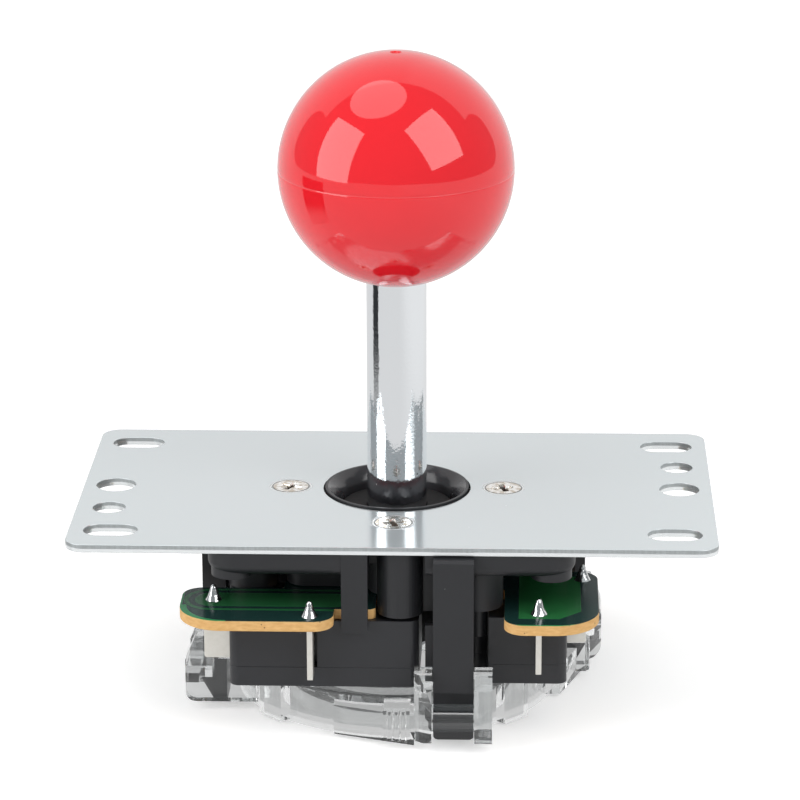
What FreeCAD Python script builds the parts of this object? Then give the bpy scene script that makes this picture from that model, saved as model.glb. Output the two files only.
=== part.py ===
import FreeCAD, Part
import math
import os
import re
import Sketcher
from types import SimpleNamespace
from FreeCAD import Placement, Rotation, Vector

# Arcade joystick lever: a ball-topped shaft on a spring-centred pivot, under a slotted steel
# plate, with four microswitches on a circuit board and a clear restrictor gate clipped below.
# Origin at the centre of the plate's top face, +X along the plate, +Y to the back, +Z up.
# The works below the plate repeat every quarter turn. The front quarter is drawn, with u for
# the distance to the left (-X) and v for the distance to the front (-Y).

doc = FreeCAD.newDocument("arcade_joystick_lever")
sheet = doc.addObject("Spreadsheet::Sheet", "Sizes")

SIZES = [
    # Mounting plate
    ("plate_length", 95.0), ("plate_depth", 54.2), ("plate_thickness", 1.2), ("plate_corner", 3.0),
    ("eye_gap", 0.25), ("slot_end_inset", 6.2), ("slot_side_inset", 6.7), ("slot_long", 8.0),
    ("slot_wide", 4.8), ("side_hole_inset", 4.85), ("side_hole_radius", 3.0),
    ("small_hole_inset", 4.9), ("small_hole_y", 10.4), ("small_hole_radius", 2.45),
    # Countersunk plate screws
    ("screw_offset", 16.1), ("screw_head_radius", 2.65), ("screw_shank_radius", 1.5),
    ("screw_length", 9.0), ("screw_gap", 0.03), ("screw_tip_radius", 0.9), ("drive_long", 2.6),
    ("drive_wide", 0.6), ("drive_depth", 0.7),
    # Housing
    ("slab_margin", 1.1), ("slab_depth", 3.5), ("slab_corner", 4.0), ("slab_edge", 1.5),
    ("corner_boss_inset", 3.5), ("corner_boss_radius", 3.0), ("corner_boss_depth", 0.8),
    ("collar_radius", 10.85), ("collar_height", 0.3), ("mouth_inset", 0.95),
    ("core_half", 16.0), ("core_corner", 3.0), ("core_bottom", -10.15), ("tub_radius", 10.8),
    ("tub_bottom", -11.75), ("boss_radius", 3.8), ("post_bottom", -11.3), ("near_post_radius", 3.35),
    ("far_post_radius", 3.7), ("far_post_bottom", -10.7), ("peg_radius", 1.45), ("peg_bottom", -15.5),
    ("wall_thick", 1.4),
    ("rib_start", 3.35), ("rib_width", 3.85), ("rib_thickness", 1.15), ("rib_bottom", -13.3),
    ("rib_gap", 0.15), ("rib_round", 0.6),
    ("leg_start", 6.2), ("leg_width", 5.9), ("leg_setback", 1.6), ("leg_thick", 3.5), ("leg_top", -1.5),
    ("leg_bevel", 0.4), ("neck_depth", 1.6), ("neck_top", -21.9), ("neck_slope", 0.6), ("barb_reach", 0.4),
    ("barb_top", -26.0), ("tip_slant", 1.75), ("tip_bottom", -29.9), ("tip_round", 0.7),
    ("web_width", 1.2), ("web_depth", 1.0), ("web_top", -12.3), ("web_bottom", -21.1),
    ("recess_start", 20.9), ("pilot_spare", 0.4), ("pilot_gap", 0.03),
    # Pivot and its seat
    ("pivot_height", -4.0), ("pivot_radius", 8.4), ("seat_gap", 0.25), ("pivot_rise", 1.4),
    ("pivot_drop", 6.6), ("seat_rise", 2.0), ("seat_opening", 5.6),
    # Shaft, ball top and what holds them
    ("shaft_radius", 4.5), ("shank_radius", 3.0), ("shaft_bottom", -30.0), ("shoulder_drop", 3.0),
    ("end_chamfer", 0.5), ("top_chamfer", 0.3), ("running_gap", 0.05), ("ball_radius", 17.5),
    ("ball_height", 49.6), ("shaft_entry", 1.5), ("entry_gap", 0.1), ("stud_radius", 2.9), ("stud_length", 10.0),
    ("insert_flats", 9.0), ("insert_length", 11.5), ("insert_bore", 2.95), ("sprue_radius", 0.9), ("sprue_depth", 0.25),
    ("driver_slot_wide", 0.9), ("driver_slot_deep", 1.6),
    ("clip_groove_radius", 2.5), ("clip_thickness", 0.6), ("clip_radius", 4.6), ("clip_mouth", 3.6),
    ("clip_gap", 0.05),
    # Actuator, return spring and its washer
    ("actuator_radius", 7.6), ("actuator_top", -14.2), ("actuator_waist", -19.5),
    ("actuator_foot", 5.6), ("actuator_bottom", -23.6), ("cup_radius", 6.3), ("cup_floor", -21.2),
    ("cup_floor_radius", 6.2), ("hub_radius", 4.4), ("hub_bottom", -24.0),
    ("washer_inner", 4.9), ("washer_outer", 7.0), ("washer_thickness", 0.5),
    ("spring_mean", 5.6), ("spring_wire", 0.45), ("spring_turns", 5.0), ("spring_gap", 0.06),
    # Microswitches
    ("switch_long", 27.8), ("switch_tall", 15.9), ("switch_near", 4.05), ("switch_face", 9.8),
    ("switch_top", -11.9), ("switch_thick", 10.3), ("cover_thick", 3.0), ("case_corner", 1.4),
    ("notch_long", 2.2), ("notch_tall", 4.4), ("eye_radius", 1.55), ("eye_margin", 2.8),
    ("plunger_radius", 1.5), ("plunger_reach", 1.45), ("plunger_long", 4.85), ("plunger_dome", 1.0),
    ("plunger_well", 6.2), ("plunger_drop", 5.15),
    ("blade_thick", 0.85), ("blade_root", 2.0), ("blade_start", 0.2), ("blade_round", 0.35),
    ("common_drop", 8.3), ("end_drop", 7.4), ("root_start", 1.7), ("root_drop", 5.9),
    ("common_start", 11.3), ("common_reach", 2.9), ("common_groove", 0.45), ("end_blade_v", 21.1),
    ("end_blade_reach", 3.95), ("tail_wide", 1.1), ("tail_rise", 2.7), ("common_tail", 2.35),
    ("end_tail", 2.45),
    # Circuit board and what stands on it
    ("board_thick", 1.6), ("board_hole", 11.15), ("lobe_start", 8.3), ("lobe_spare", 7.25),
    ("lobe_margin", 4.6), ("bridge_outer", 25.0), ("notch_floor", 16.2), ("notch_gap", 0.2),
    ("notch_right", 16.5), ("lobe_far_corner", 6.5), ("lobe_corner", 3.0), ("bridge_corner", 1.0),
    ("tail_hole", 0.95), ("solder_foot", 1.25), ("solder_tip", 0.4), ("solder_height", 2.4),
    ("header_start", 13.6), ("header_wide", 11.0), ("header_long", 6.6), ("header_inset", 0.5),
    ("header_tall", 4.7), ("header_wall", 0.8), ("header_floor", 1.6), ("key_start", 3.85),
    ("key_wide", 3.3), ("key_deep", 3.0), ("pin_pitch", 2.0), ("pin_half", 0.25), ("pin_short", 1.0),
    # Clear gate and restrictor plate
    ("gate_bottom", -30.6), ("ring_radius", 24.2), ("ring_wall", 1.8), ("rim_radius", 25.8),
    ("rim_thick", 1.5), ("rim_gap", 0.1), ("floor_thick", 1.4), ("floor_opening", 14.0),
    ("cheek_inner", 20.5), ("cheek_bottom", -29.2), ("cheek_top", -18.7), ("cheek_step_gap", 0.6),
    ("cheek_bevel", 1.6), ("cheek_shoulder", -22.6), ("cheek_round", 1.5), ("cheek_thick", 2.6),
    ("cheek_gap", 0.15), ("loop_reach", 2.6), ("bar_top", -24.1), ("bar_bottom", -26.8), ("bar_thick", 1.9),
    ("ledge_gap", 0.3), ("ledge_bottom", -25.9),
    ("fin_top", -25.4), ("fin_bottom", -30.0), ("fin_start", 8.5), ("fin_root", 21.0), ("fin_low", 24.9),
    ("fin_setback", 2.3), ("block_bottom", -30.2), ("block_long", 4.8), ("block_reach", 25.9),
    ("ribbed_start", 1.1), ("ribbed_wide", 3.9), ("ribbed_reach", 29.0), ("ribbed_top", -24.6),
    ("ribbed_bottom", -29.2), ("ribbed_round", 0.45),
    ("restrictor_radius", 17.0), ("restrictor_thick", 2.2), ("restrictor_half", 6.5),
    ("restrictor_corner", 1.5),
]
for row, (alias, millimetres) in enumerate(SIZES, 1):
    sheet.set(f"A{row}", alias)
    sheet.set(f"B{row}", str(millimetres))
    sheet.setAlias(f"B{row}", alias)
doc.recompute()
mm = SimpleNamespace(**{alias: float(sheet.get(alias)) for alias, _ in SIZES})

# Places that follow from the sizes
SWITCH_BACK = "(switch_face + switch_tall)"
SWITCH_FAR = "(switch_long - switch_near)"
SLAB_HALF = f"({SWITCH_BACK} + slab_margin)"
LEG_INNER = f"({SLAB_HALF} - leg_setback)"
LEG_OUTER = f"({LEG_INNER} + leg_thick)"
NECK_OUTER = f"({LEG_OUTER} - neck_depth)"
CHEEK_OUTER = f"({LEG_OUTER} + loop_reach)"
COLLAR_MOUTH = "(collar_radius - mouth_inset)"
PIVOT_TOP = "(pivot_height + pivot_rise)"
PIVOT_BOTTOM = "(pivot_height - pivot_drop)"
SHOULDER = "(pivot_height - shoulder_drop)"
SEAT_TOP = "(pivot_height + seat_rise)"
BLADE_TOP = "(switch_top - blade_start)"
TAIL_TOP = "(switch_top + tail_rise)"
ROOT = ("switch_top - root_drop", "switch_top - root_start")
LOBE_OUTER = f"({SWITCH_BACK} + lobe_margin)"
LOBE_END = f"({SWITCH_FAR} + lobe_spare)"
HEADER_OUTER = f"({LOBE_OUTER} - header_inset)"
HEADER_INNER = f"({HEADER_OUTER} - header_long)"
RIM_TOP = "(switch_top - switch_thick - rim_gap)"
SEAM = "(switch_top - switch_thick + cover_thick)"
PLUNGER_Z = "switch_top - plunger_drop"
back_v = mm.switch_face + mm.switch_tall
far_u = mm.switch_long - mm.switch_near
slab_v = back_v + mm.slab_margin

bodies = []
QUARTERS = [("front", 0), ("right", 90), ("back", 180), ("left", 270)]


def formula(text):
    """A sum of sizes, with each size looked up in the sheet."""
    return re.sub(r"[a-z]+(?:_[a-z]+)+", lambda found: "Sizes." + found.group(0), text)


def bind(thing, **sums):
    for name, text in sums.items():
        thing.setExpression(name, formula(text))


def put(thing, x="0", y="0", z="0"):
    for axis, text in (("x", x), ("y", y), ("z", z)):
        thing.setExpression("Placement.Base." + axis, formula(text))


def new_body(label, turn=0):
    body = doc.addObject("PartDesign::Body", label)
    body.Label = label
    body.Placement = Placement(Vector(), Rotation(Vector(0, 0, 1), turn))
    bodies.append(body)
    return body


def datum(body, role):
    return next(item for item in body.Origin.OriginFeatures if item.Role == role)


def box(body, name, x, y, z, cut=False):
    """A block between two x, two y and two z, each pair given low and high."""
    kind = "PartDesign::SubtractiveBox" if cut else "PartDesign::AdditiveBox"
    block = body.newObject(kind, name)
    bind(block, Length=f"({x[1]}) - ({x[0]})", Width=f"({y[1]}) - ({y[0]})", Height=f"({z[1]}) - ({z[0]})")
    put(block, x[0], y[0], z[0])
    return block


def front_box(body, name, u, v, z, cut=False):
    """A block of the front quarter, given in u and v."""
    x = (f"-({u[1]})", f"-({u[0]})")
    y = (f"-({v[1]})", f"-({v[0]})")
    return box(body, name, x, y, z, cut)


def rod(body, name, radius, z, x="0", y="0", cut=False):
    kind = "PartDesign::SubtractiveCylinder" if cut else "PartDesign::AdditiveCylinder"
    cylinder = body.newObject(kind, name)
    bind(cylinder, Radius=radius, Height=f"({z[1]}) - ({z[0]})")
    put(cylinder, x, y, z[0])
    return cylinder


def cone(body, name, low_radius, high_radius, z, x="0", y="0", cut=False):
    kind = "PartDesign::SubtractiveCone" if cut else "PartDesign::AdditiveCone"
    frustum = body.newObject(kind, name)
    bind(frustum, Radius1=low_radius, Radius2=high_radius, Height=f"({z[1]}) - ({z[0]})")
    put(frustum, x, y, z[0])
    return frustum


def outline(body, name, role, points, offset="0"):
    """A closed outline of straight lines on a plane of the body, with each corner held by
    its two distances from the origin."""
    sketch = body.newObject("Sketcher::SketchObject", name)
    sketch.AttachmentSupport = [(datum(body, role), "")]
    sketch.MapMode = "FlatFace"
    sketch.setExpression("AttachmentOffset.Base.z", formula(offset))
    count = len(points)
    reach = mm.plate_length / 2
    ring = [Vector(reach, 0, 0)]
    for _ in range(count - 1):
        ring.append(Rotation(Vector(0, 0, 1), 360 / count).multVec(ring[-1]))
    for i in range(count):
        sketch.addGeometry(Part.LineSegment(ring[i], ring[(i + 1) % count]), False)
    for i in range(count):
        sketch.addConstraint(Sketcher.Constraint("Coincident", i, 2, (i + 1) % count, 1))
    for i, corner in enumerate(points):
        for kind, text, start in zip(("DistanceX", "DistanceY"), corner, ring[i]):
            number = sketch.addConstraint(Sketcher.Constraint(kind, -1, 1, i, 1, start))
            sketch.setExpression(f"Constraints[{number}]", formula(text))
    return sketch


def pad(body, sketch, length):
    feature = body.newObject("PartDesign::Pad", sketch.Name + "_pad")
    feature.Profile = sketch
    bind(feature, Length=length)
    return feature


def spin(body, name, points):
    """A turned piece: an outline in radius and height, revolved about the body's Z axis."""
    sketch = outline(body, name + "_section", "XZ_Plane", points)
    feature = body.newObject("PartDesign::Revolution", name)
    feature.Profile = sketch
    feature.ReferenceAxis = (sketch, ["V_Axis"])
    feature.Angle = 360
    return feature


def four(body, name, features):
    pattern = body.newObject("PartDesign::PolarPattern", name)
    pattern.Originals = features
    pattern.Axis = (datum(body, "Z_Axis"), [""])
    pattern.Angle = 360
    pattern.Occurrences = 4
    body.Tip = pattern
    doc.recompute()
    return pattern


def upright(edge, places, reach=0.01):
    """True for a vertical edge that stands at one of the given x, y places."""
    ends = [vertex.Point for vertex in edge.Vertexes]
    if len(ends) != 2 or (ends[0] - ends[1]).cross(Vector(0, 0, 1)).Length > 1e-6:
        return False
    return any(math.hypot(ends[0].x - x, ends[0].y - y) < reach for x, y in places)


def level_edge(edge, height, length, reach=0.01):
    """True for a straight edge of the given length that lies at one height."""
    span = edge.BoundBox
    return (abs(edge.Length - length) < reach and abs(span.ZMin - height) < reach
            and abs(span.ZMax - height) < reach)


def round_edges(body, name, feature, wanted, radius):
    doc.recompute()
    names = [f"Edge{i}" for i, edge in enumerate(feature.Shape.Edges, 1) if wanted(edge)]
    fillet = body.newObject("PartDesign::Fillet", name)
    fillet.Base = (feature, names)
    bind(fillet, Radius=radius)
    return fillet


def quarter_turns(x, y):
    """A place in the front quarter and its three turned copies."""
    return [(x, y), (-y, x), (-x, -y), (y, -x)]


def make_plate():
    body = new_body("mounting_plate")
    half_x, half_y = "plate_length / 2", "plate_depth / 2"
    sheet_metal = pad(body, outline(body, "plate_outline", "XY_Plane", [
        (f"-{half_x}", f"-{half_y}"), (half_x, f"-{half_y}"), (half_x, half_y), (f"-{half_x}", half_y)],
        "-plate_thickness"), "plate_thickness")
    corners = [(sx * mm.plate_length / 2, sy * mm.plate_depth / 2) for sx in (-1, 1) for sy in (-1, 1)]
    round_edges(body, "plate_corners", sheet_metal, lambda e: upright(e, corners), "plate_corner")
    depth = ("-plate_thickness - 1", "1")
    rod(body, "eye", "collar_radius + eye_gap", depth, cut=True)
    for i, (sx, sy) in enumerate([(-1, -1), (1, -1), (1, 1), (-1, 1)]):
        x = f"{sx} * ({half_x} - slot_end_inset)"
        y = f"{sy} * ({half_y} - slot_side_inset)"
        for end in (-1, 1):
            rod(body, f"slot_end_{i}_{end + 1}", "slot_wide / 2", depth,
                f"{x} + {end} * (slot_long - slot_wide) / 2", y, cut=True)
        box(body, f"slot_{i}", (f"{x} - (slot_long - slot_wide) / 2", f"{x} + (slot_long - slot_wide) / 2"),
            (f"{y} - slot_wide / 2", f"{y} + slot_wide / 2"), depth, cut=True)
    for side in (-1, 1):
        rod(body, f"side_hole_{side + 1}", "side_hole_radius", depth,
            f"{side} * ({half_x} - side_hole_inset)", cut=True)
        rod(body, f"small_hole_{side + 1}", "small_hole_radius", depth,
            f"{side} * ({half_x} - small_hole_inset)", f"{side} * small_hole_y", cut=True)
    sink = cone(body, "countersink", "screw_shank_radius + screw_gap", "screw_head_radius + screw_gap",
                ("-plate_thickness", "0"), y="-screw_offset", cut=True)
    four(body, "countersinks", [sink])


def make_screws():
    body = new_body("plate_screws")
    body.AllowCompound = True
    tip_top = "-screw_length + screw_shank_radius"
    tip = cone(body, "tip", "screw_tip_radius", "screw_shank_radius", ("-screw_length", tip_top),
               y="-screw_offset")
    shank = rod(body, "shank", "screw_shank_radius", (tip_top, "-plate_thickness"), y="-screw_offset")
    head = cone(body, "head", "screw_shank_radius", "screw_head_radius", ("-plate_thickness", "0"),
                y="-screw_offset")
    four(body, "screws", [tip, shank, head])
    depth = ("-drive_depth", "1")
    across = box(body, "drive_across", ("-drive_long / 2", "drive_long / 2"),
                 ("-screw_offset - drive_wide / 2", "-screw_offset + drive_wide / 2"), depth, cut=True)
    along = box(body, "drive_along", ("-drive_wide / 2", "drive_wide / 2"),
                ("-screw_offset - drive_long / 2", "-screw_offset + drive_long / 2"), depth, cut=True)
    four(body, "drives", [across, along])


def make_housing():
    body = new_body("housing")
    under_plate = "-plate_thickness"
    slab_bottom = "(-plate_thickness - slab_depth)"
    across = (f"-{SLAB_HALF}", SLAB_HALF)
    slab = box(body, "slab", across, across, (slab_bottom, under_plate))
    corners = [(sx * slab_v, sy * slab_v) for sx in (-1, 1) for sy in (-1, 1)]
    rounded = round_edges(body, "slab_corners", slab, lambda e: upright(e, corners), "slab_corner")
    low = -mm.plate_thickness - mm.slab_depth

    def bottom_edge(edge):
        return abs(edge.BoundBox.ZMax - low) < 0.01 and abs(edge.BoundBox.ZMin - low) < 0.01

    round_edges(body, "slab_bottom_edge", rounded, bottom_edge, "slab_edge")
    through = (f"{slab_bottom} - 1", f"{under_plate} + 1")
    recess = front_box(body, "post_recess", ("-leg_start + web_width", "rib_start"),
                       ("recess_start", f"{SLAB_HALF} + 1"), through, cut=True)
    four(body, "post_recesses", [recess])
    rod(body, "collar", "collar_radius", (under_plate, "collar_height"))
    core = box(body, "core", ("-core_half", "core_half"), ("-core_half", "core_half"),
               ("core_bottom", slab_bottom))
    core_corners = [(sx * mm.core_half, sy * mm.core_half) for sx in (-1, 1) for sy in (-1, 1)]
    round_edges(body, "core_corners", core, lambda e: upright(e, core_corners), "core_corner")
    rod(body, "tub", "tub_radius", ("tub_bottom", "core_bottom"))

    near_u, near_v = near_eye()
    far_u, far_v = far_eye()
    inset = f"-({SLAB_HALF} - corner_boss_inset)"
    corner_boss = rod(body, "corner_boss", "corner_boss_radius",
                      (f"{slab_bottom} - corner_boss_depth", under_plate), inset, inset)
    boss = rod(body, "screw_boss", "boss_radius", ("core_bottom", slab_bottom), y="-screw_offset")
    near_post = rod(body, "near_post", "near_post_radius", ("post_bottom", under_plate),
                    f"-({near_u})", f"-({near_v})")
    near_peg = rod(body, "near_peg", "peg_radius", ("peg_bottom", "post_bottom"),
                   f"-({near_u})", f"-({near_v})")
    far_post = rod(body, "far_post", "far_post_radius", ("far_post_bottom", slab_bottom),
                   f"-({far_u})", f"-({far_v})")
    far_peg = rod(body, "far_peg", "peg_radius", ("peg_bottom", "far_post_bottom"),
                  f"-({far_u})", f"-({far_v})")
    wall = front_box(body, "post_wall", ("-leg_start - web_width", near_u),
                     (f"{near_v} - wall_thick", near_v), ("post_bottom", under_plate))
    rib = front_box(body, "rib", ("rib_start", "rib_start + rib_width"),
                    (f"{SWITCH_BACK} + rib_gap", f"{SWITCH_BACK} + rib_gap + rib_thickness"),
                    ("rib_bottom", under_plate))
    leg = pad(body, outline(body, "leg_profile", "YZ_Plane", [
        (f"-{LEG_INNER}", "leg_top"), (f"-{LEG_OUTER} + leg_bevel", "leg_top"),
        (f"-{LEG_OUTER}", "leg_top - leg_bevel"), (f"-{LEG_OUTER}", "neck_top"),
        (f"-{NECK_OUTER}", "neck_top - neck_slope"), (f"-{NECK_OUTER}", "barb_top"),
        (f"-{LEG_OUTER} - barb_reach", "barb_top"), (f"-{LEG_OUTER} + tip_slant", "tip_bottom"),
        (f"-{LEG_INNER}", "tip_bottom")], "leg_start"), "leg_width")
    web = front_box(body, "leg_web", ("-leg_start", "-leg_start + web_width"),
                    (LEG_INNER, f"{LEG_INNER} + web_depth"), ("web_bottom", "web_top"))
    posts = [boss, corner_boss, near_post, near_peg, far_post, far_peg]
    quarters = four(body, "quarters", posts + [wall, rib, leg, web])
    ribs = round_edges(body, "rib_corners", quarters,
                       lambda e: level_edge(e, mm.rib_bottom, mm.rib_thickness), "rib_round")
    tip_thick = mm.leg_thick - mm.tip_slant
    round_edges(body, "leg_tip_corners", ribs, lambda e: level_edge(e, mm.tip_bottom, tip_thick), "tip_round")

    seat = body.newObject("PartDesign::SubtractiveSphere", "ball_seat")
    bind(seat, Radius="pivot_radius + seat_gap")
    put(seat, z="pivot_height")
    rod(body, "seat_wall", "pivot_radius + seat_gap", ("pivot_height", SEAT_TOP), cut=True)
    cone(body, "bowl", "pivot_radius + seat_gap", COLLAR_MOUTH, (SEAT_TOP, "collar_height + 0.01"), cut=True)
    rod(body, "seat_hole", "seat_opening", ("tub_bottom - 1", "pivot_height"), cut=True)
    pilot = rod(body, "pilot_hole", "screw_shank_radius + pilot_gap", ("-screw_length - pilot_spare", "0"),
                y="-screw_offset", cut=True)
    four(body, "pilot_holes", [pilot])


def near_eye():
    """Centre of the switch's fixing hole at the plunger's end, in u and v."""
    return "-switch_near + eye_margin", f"{SWITCH_BACK} - eye_margin"


def far_eye():
    """Centre of the switch's fixing hole at the end away from the plunger, in u and v."""
    return f"{SWITCH_FAR} - eye_margin", "switch_face + eye_margin"


def make_pivot():
    body = new_body("pivot")
    ball = body.newObject("PartDesign::AdditiveSphere", "pivot_ball")
    bind(ball, Radius="pivot_radius")
    put(ball, z="pivot_height")
    wide = ("-pivot_radius - 1", "pivot_radius + 1")
    box(body, "flat_top", wide, wide, (PIVOT_TOP, "pivot_height + pivot_radius + 1"), cut=True)
    box(body, "flat_bottom", wide, wide, ("pivot_height - pivot_radius - 1", PIVOT_BOTTOM), cut=True)
    rod(body, "shaft_bore", "shaft_radius + running_gap", (f"{SHOULDER} - running_gap", f"{PIVOT_TOP} + 1"),
        cut=True)
    rod(body, "shank_bore", "shank_radius + running_gap", (f"{PIVOT_BOTTOM} - 1", PIVOT_TOP), cut=True)


def shaft_top():
    return "(ball_height - ball_radius + shaft_entry)"


def make_shaft():
    body = new_body("shaft")
    stud_top = f"{shaft_top()} + stud_length"
    clip_low = "hub_bottom - clip_gap - clip_thickness - clip_gap"
    spin(body, "turned_shaft", [
        ("0", "shaft_bottom"), ("shank_radius - end_chamfer", "shaft_bottom"),
        ("shank_radius", "shaft_bottom + end_chamfer"),
        ("shank_radius", clip_low), ("clip_groove_radius", clip_low), ("clip_groove_radius", "hub_bottom"),
        ("shank_radius", "hub_bottom"), ("shank_radius", SHOULDER),
        ("shaft_radius", SHOULDER), ("shaft_radius", f"{shaft_top()} - top_chamfer"),
        ("shaft_radius - top_chamfer", shaft_top()), ("stud_radius", shaft_top()),
        ("stud_radius", f"{stud_top} - end_chamfer"), ("stud_radius - end_chamfer", stud_top), ("0", stud_top)])
    box(body, "driver_slot", ("-driver_slot_wide / 2", "driver_slot_wide / 2"),
        ("-shank_radius - 1", "shank_radius + 1"), ("shaft_bottom - 1", "shaft_bottom + driver_slot_deep"), cut=True)


def make_ball():
    body = new_body("ball_top")
    ball = body.newObject("PartDesign::AdditiveSphere", "ball")
    bind(ball, Radius="ball_radius")
    put(ball, z="ball_height")
    low = "(ball_height - ball_radius)"
    rod(body, "shaft_pocket", "shaft_radius + entry_gap", (f"{low} - 1", shaft_top()), cut=True)
    rod(body, "insert_pocket", "insert_flats / 2 / cos(30)", (shaft_top(), f"{shaft_top()} + insert_length"),
        cut=True)
    rod(body, "sprue_dimple", "sprue_radius", ("ball_height + ball_radius - sprue_depth",
        "ball_height + ball_radius + 1"), cut=True)


def make_insert():
    body = new_body("ball_insert")
    nut = body.newObject("PartDesign::AdditivePrism", "hexagon")
    nut.Polygon = 6
    bind(nut, Circumradius="insert_flats / 2 / cos(30)", Height="insert_length")
    put(nut, z=shaft_top())
    rod(body, "thread_bore", "insert_bore", (f"{shaft_top()} - 1", f"{shaft_top()} + insert_length + 1"), cut=True)


def make_e_clip():
    body = new_body("e_clip")
    level = ("hub_bottom - clip_gap - clip_thickness", "hub_bottom - clip_gap")
    rod(body, "ring", "clip_radius", level)
    rod(body, "ring_bore", "clip_groove_radius + clip_gap", ("hub_bottom - clip_thickness - 1", "hub_bottom"),
        cut=True)
    box(body, "mouth", ("-clip_mouth / 2", "clip_mouth / 2"), ("-clip_radius - 1", "0"),
        ("hub_bottom - clip_thickness - 1", "hub_bottom"), cut=True)


def make_actuator():
    body = new_body("actuator")
    spin(body, "cup", [
        ("shank_radius + running_gap", "hub_bottom"), ("hub_radius", "hub_bottom"),
        ("hub_radius", "actuator_bottom"), ("actuator_foot", "actuator_bottom"),
        ("actuator_radius", "actuator_waist"), ("actuator_radius", "actuator_top"),
        ("cup_radius", "actuator_top"), ("cup_radius", "actuator_waist"),
        ("cup_floor_radius", "cup_floor"), ("shank_radius + running_gap", "cup_floor")])


def make_washer():
    body = new_body("spring_washer")
    level = ("tub_bottom - washer_thickness", "tub_bottom")
    rod(body, "ring", "washer_outer", level)
    rod(body, "ring_bore", "washer_inner", ("tub_bottom - washer_thickness - 1", "tub_bottom + 1"), cut=True)


def make_spring():
    """A round wire wound along a helix of short curves that run smoothly into each other, from
    the washer to the floor of the cup."""
    top = mm.tub_bottom - mm.washer_thickness - mm.spring_gap - mm.spring_wire
    low = mm.cup_floor + mm.spring_gap + mm.spring_wire
    pieces_a_turn = 12
    count = round(mm.spring_turns * pieces_a_turn)
    step = 2 * math.pi / pieces_a_turn
    climb = (top - low) / (step * count)
    handle = 4 / 3 * math.tan(step / 4)

    def on_helix(place):
        angle = step * place
        return Vector(mm.spring_mean * math.cos(angle), mm.spring_mean * math.sin(angle), low + climb * angle)

    def along(place):
        angle = step * place
        return Vector(-mm.spring_mean * math.sin(angle), mm.spring_mean * math.cos(angle), climb) * handle

    pieces = []
    for i in range(count):
        curve = Part.BezierCurve()
        curve.setPoles([on_helix(i), on_helix(i) + along(i), on_helix(i + 1) - along(i + 1), on_helix(i + 1)])
        pieces.append(curve.toShape())
    section = Part.makeCircle(mm.spring_wire, on_helix(0), along(0))
    spring = doc.addObject("Part::Feature", "return_spring")
    spring.Label = "return_spring"
    spring.Shape = Part.Wire(pieces).makePipeShell([Part.Wire(section)], True, False)
    bodies.append(spring)


def case_block(body, name, z):
    """The switch's outline in plan between two heights, with its notch and rounded back."""
    front_box(body, name, ("-switch_near", SWITCH_FAR), ("switch_face", SWITCH_BACK), z)
    notch = front_box(body, name + "_notch", (f"{SWITCH_FAR} - notch_long", f"{SWITCH_FAR} + 1"),
                      ("switch_face - 1", "switch_face + notch_tall"), z, cut=True)
    back_corners = [(mm.switch_near, -back_v), (-far_u, -back_v)]
    round_edges(body, name + "_back", notch, lambda e: upright(e, back_corners), "case_corner")
    for which, (u, v) in (("near", near_eye()), ("far", far_eye())):
        rod(body, f"{name}_{which}_eye", "eye_radius", (f"{z[0]} - 1", f"{z[1]} + 1"), f"-({u})", f"-({v})",
            cut=True)


def make_case(side, turn):
    body = new_body("switch_case_" + side, turn)
    case_block(body, "case_" + side, (SEAM, "switch_top"))
    well = body.newObject("PartDesign::SubtractiveCylinder", "plunger_well_" + side)
    well.Placement = Placement(Vector(), Rotation(Vector(1, 0, 0), 90))
    bind(well, Radius="plunger_radius + running_gap", Height="plunger_well + 1")
    put(well, y="-switch_face + 1", z=PLUNGER_Z)
    front_box(body, "common_slot_" + side, ("common_start - common_groove", "common_start + blade_thick"),
              (f"{SWITCH_BACK} - blade_root", f"{SWITCH_BACK} + 1"), (SEAM, ROOT[1]), cut=True)
    front_box(body, "end_slot_" + side, (f"{SWITCH_FAR} - blade_root", f"{SWITCH_FAR} + 1"),
              ("end_blade_v", "end_blade_v + blade_thick"), ROOT, cut=True)


def make_cover(side, turn):
    body = new_body("switch_cover_" + side, turn)
    case_block(body, "cover_" + side, ("(switch_top - switch_thick)", SEAM))


def make_plunger(side, turn):
    body = new_body("switch_plunger_" + side, turn)
    stem = body.newObject("PartDesign::AdditiveCylinder", "stem_" + side)
    stem.Placement = Placement(Vector(), Rotation(Vector(1, 0, 0), 90))
    bind(stem, Radius="plunger_radius", Height="plunger_long")
    put(stem, y="-switch_face + plunger_reach", z=PLUNGER_Z)
    doc.recompute()
    tip = -mm.switch_face + mm.plunger_reach

    def tip_edge(edge):
        return abs(edge.BoundBox.YMin - tip) < 0.01 and abs(edge.BoundBox.YMax - tip) < 0.01

    round_edges(body, "dome_" + side, stem, tip_edge, "plunger_dome")


def round_blade(body, name, blade, bottom):
    """Rounds the two lower corners of a terminal's blade."""
    round_edges(body, name, blade, lambda e: level_edge(e, bottom, mm.blade_thick), "blade_round")


def make_common_terminal(side, turn):
    body = new_body("common_terminal_" + side, turn)
    u = ("common_start", "common_start + blade_thick")
    blade = front_box(body, "common_blade_" + side, u, (SWITCH_BACK, f"{SWITCH_BACK} + common_reach"),
                      ("switch_top - common_drop", BLADE_TOP))
    round_blade(body, "common_corners_" + side, blade, mm.switch_top - mm.common_drop)
    front_box(body, "common_root_" + side, u, (f"{SWITCH_BACK} - blade_root", SWITCH_BACK), ROOT)
    front_box(body, "common_tail_" + side, u, (f"{SWITCH_BACK} + common_tail - tail_wide / 2",
              f"{SWITCH_BACK} + common_tail + tail_wide / 2"), (BLADE_TOP, TAIL_TOP))


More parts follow.
